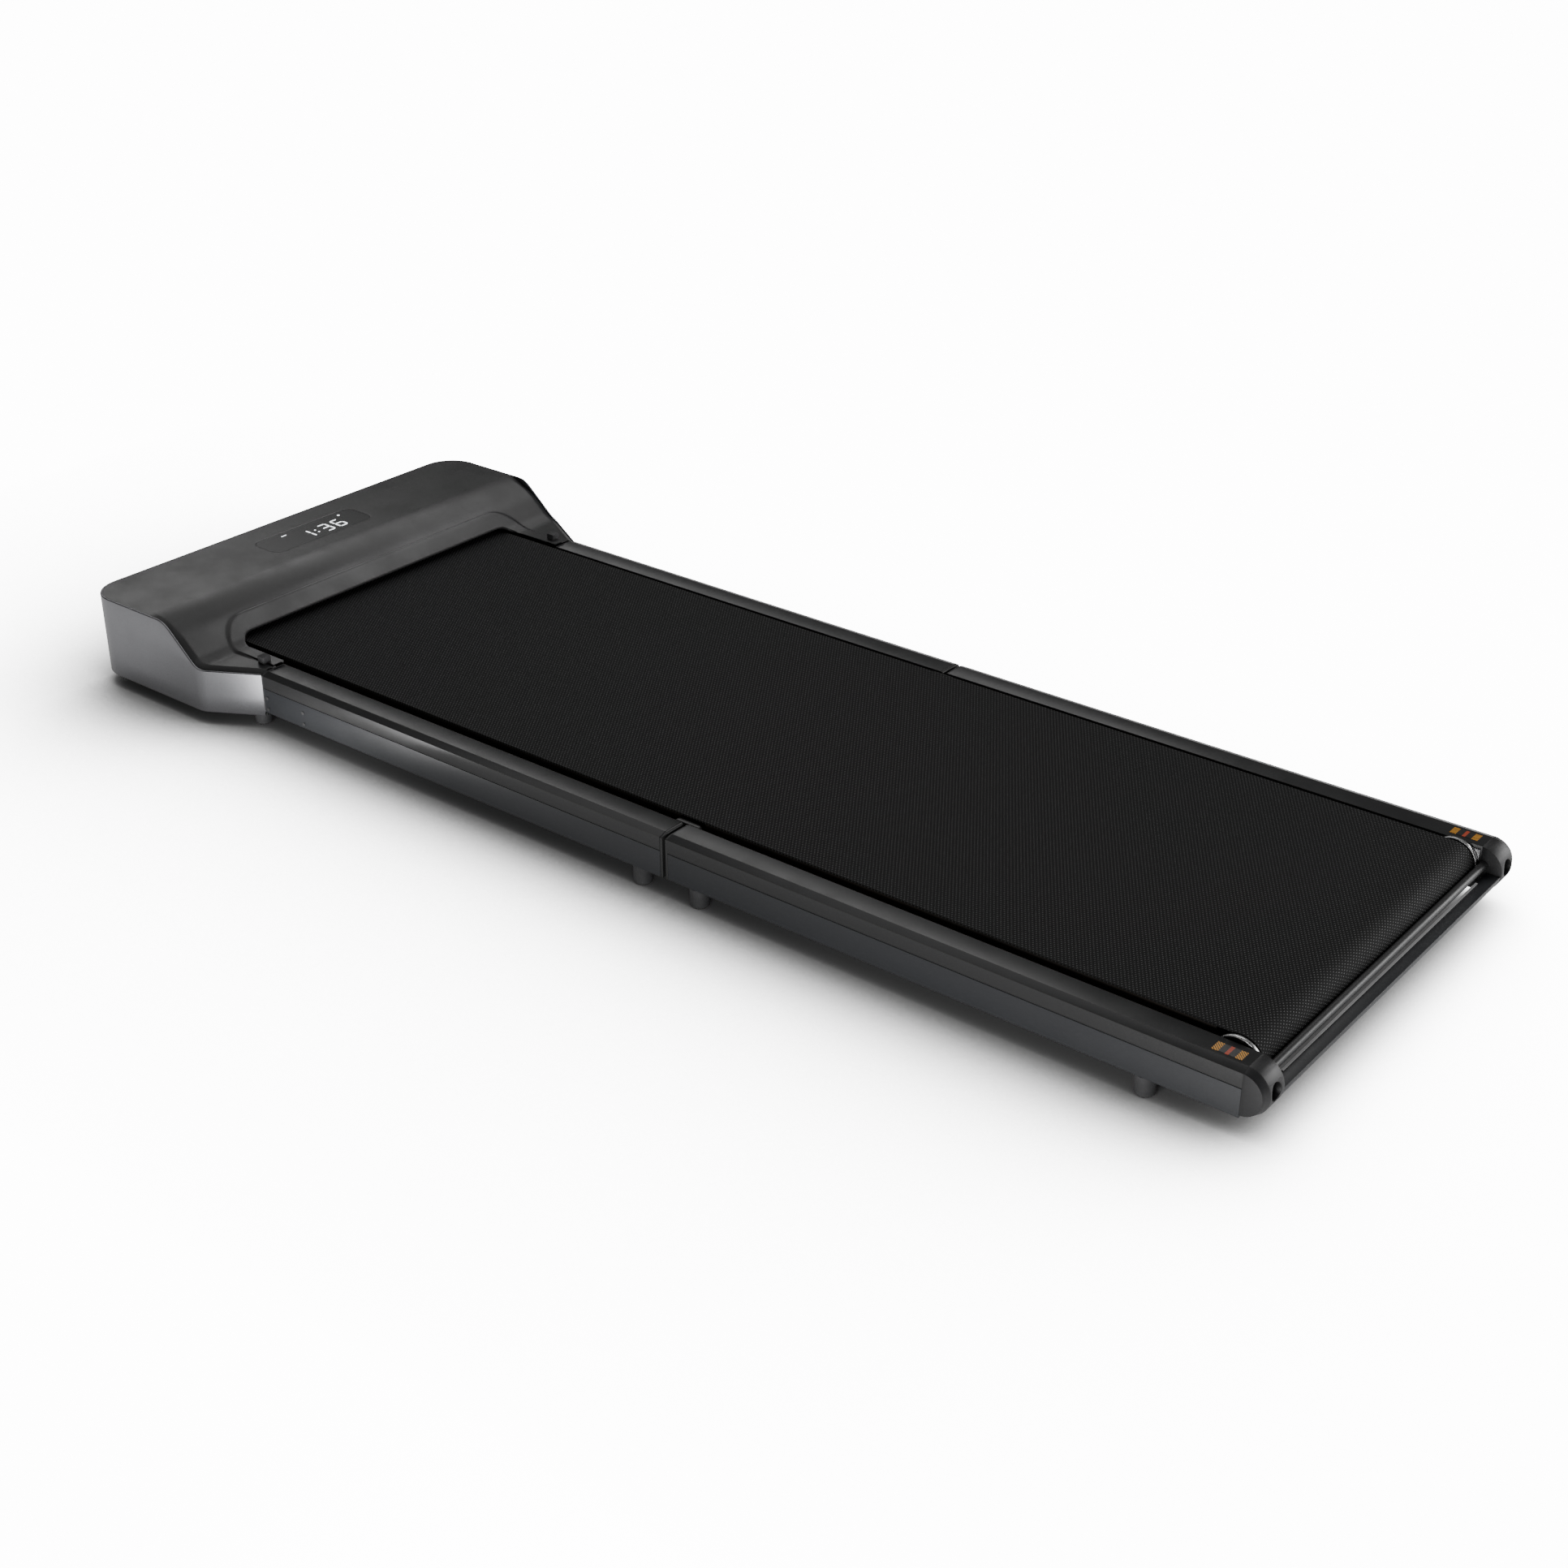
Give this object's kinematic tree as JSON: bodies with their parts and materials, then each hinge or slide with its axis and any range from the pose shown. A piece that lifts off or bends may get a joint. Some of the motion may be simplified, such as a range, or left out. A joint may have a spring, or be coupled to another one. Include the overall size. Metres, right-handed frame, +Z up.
{
  "type": "folding walking treadmill",
  "caption": "Low walking treadmill with a display hood at the front and a belt deck that folds in half, tread against tread, on double-pivot links",
  "frame": {"origin": "on the floor, under the middle of the overall length and width, machine laid flat for use", "axes": "+Y toward the hood and display at the front, +X to the user's right, +Z up"},
  "size_m": [0.549, 1.422, 0.1053],
  "materials": {
    "hood_plastic": "fine satin texture",
    "band_aluminium": "satin anodised",
    "black_plastic": "moulded, slightly rough",
    "smoked_window": "smoked and polished",
    "lit_segments": "lit white",
    "circuit_board": "solder mask",
    "grey_rubber": "moulded",
    "dark_beam": "fine powder coat",
    "grey_trim": "satin silver-grey paint",
    "dark_caps": "moulded",
    "cap_plastic": "satin moulding",
    "plain_steel": "turned or pressed, bare",
    "black_steel": "black oxide or paint",
    "walking_board": "waxed fibreboard",
    "belt_rubber": "black PVC with a fine dash emboss",
    "drive_belt": "ribbed rubber",
    "motor_can": "black paint",
    "pulley_iron": "turned",
    "heatsink_aluminium": "extruded",
    "bright_strip": "white",
    "label_film": "printed stripes",
    "wheel_plastic": "moulded nylon",
    "red_plastic": "moulded"
  },
  "bodies": {
    "front_deck": {"hood_cover": "hood_plastic", "hood_band": "band_aluminium", "hood_base_pan": "black_plastic", "display_window": "smoked_window", "display_segments": "lit_segments", "display_board": "circuit_board", "fold_bumpers": "grey_rubber", "front_side_beams": "dark_beam", "front_rail_trims": "grey_trim", "front_gap_caps": "dark_caps", "front_hinge_blocks": "plain_steel", "front_deck_board": "walking_board", "front_deck_cushions": "grey_rubber", "front_cross_members": "dark_beam", "front_belt": "belt_rubber", "front_bottom_cover": "black_plastic", "front_feet": "grey_rubber", "side_screws": "black_steel", "rail_gaskets": "grey_rubber", "drive_roller_axle": "plain_steel", "motor_housing": "motor_can", "motor_bracket": "black_steel", "poly_v_belt": "drive_belt", "controller_board": "circuit_board", "heatsink": "heatsink_aluminium", "power_panel": "black_plastic", "power_inlet": "black_plastic", "wheel_brackets": "black_steel"},
    "drive_roller": {"drive_roller": "plain_steel", "drive_roller_rims": "plain_steel", "roller_pulley": "pulley_iron"},
    "motor_rotor": {"motor_rotor": "plain_steel", "motor_pulley": "pulley_iron"},
    "wheel_left": {"transport_wheel_left": "wheel_plastic"},
    "wheel_right": {"transport_wheel_right": "wheel_plastic"},
    "power_rocker": {"rocker_switch": "red_plastic"},
    "breaker_button": {"reset_button": "red_plastic"},
    "fold_link": {"fold_links": "black_steel", "fold_pins": "plain_steel", "belt_guide_tube": "plain_steel"},
    "rear_deck": {"rear_side_beams": "dark_beam", "rear_rail_trims": "grey_trim", "rear_gap_caps": "dark_caps", "rear_hinge_blocks": "plain_steel", "rear_end_caps": "cap_plastic", "rear_deck_board": "walking_board", "rear_deck_cushions": "grey_rubber", "rear_cross_members": "dark_beam", "rear_belt": "belt_rubber", "rear_bottom_cover": "black_plastic", "rear_feet": "grey_rubber", "rear_roller_axle": "plain_steel", "axle_brackets": "plain_steel", "tension_bolts": "black_steel", "crossbar_rod": "black_steel", "crossbar_channel": "dark_beam", "crossbar_strip": "bright_strip", "striped_labels": "label_film"},
    "rear_roller": {"rear_roller": "plain_steel", "rear_roller_rims": "plain_steel"}
  },
  "joints": [
    {"name": "drive_roller_spin", "type": "hinge", "parent": "front_deck", "child": "drive_roller", "pos_m": [0, 0.575, 0.046], "axis": [1, 0, 0], "continuous": true},
    {"name": "motor_spin", "type": "hinge", "parent": "front_deck", "child": "motor_rotor", "pos_m": [-0.12, 0.657, 0.05], "axis": [1, 0, 0], "continuous": true},
    {"name": "wheel_left_spin", "type": "hinge", "parent": "front_deck", "child": "wheel_left", "pos_m": [-0.222, 0.683, 0.0215], "axis": [1, 0, 0], "continuous": true},
    {"name": "wheel_right_spin", "type": "hinge", "parent": "front_deck", "child": "wheel_right", "pos_m": [0.222, 0.683, 0.0215], "axis": [1, 0, 0], "continuous": true},
    {"name": "power_rocker_tilt", "type": "hinge", "parent": "front_deck", "child": "power_rocker", "pos_m": [0.14, 0.7028, 0.052], "axis": [0, 0, 1], "range_deg": [0, 16]},
    {"name": "breaker_press", "type": "slide", "parent": "front_deck", "child": "breaker_button", "axis": [0, -1, 0], "range_m": [0, 0.0025], "stiffness_N_per_m": 400, "springref_m": -0.001},
    {"name": "fold_front_hinge", "type": "hinge", "parent": "front_deck", "child": "fold_link", "pos_m": [0, -0.082, 0.059], "axis": [-1, 0, 0], "range_deg": [0, 90]},
    {"name": "fold_rear_hinge", "type": "hinge", "parent": "fold_link", "child": "rear_deck", "pos_m": [0, -0.104, 0.059], "axis": [-1, 0, 0], "range_deg": [0, 90]},
    {"name": "rear_roller_spin", "type": "hinge", "parent": "rear_deck", "child": "rear_roller", "pos_m": [0, -0.6662, 0.046], "axis": [1, 0, 0], "continuous": true}
  ],
  "couplings": [
    {"joint": "fold_rear_hinge", "follows": "fold_front_hinge", "ratio": 1},
    {"joint": "rear_roller_spin", "follows": "drive_roller_spin", "ratio": 1},
    {"joint": "motor_spin", "follows": "drive_roller_spin", "ratio": 2.5}
  ]
}
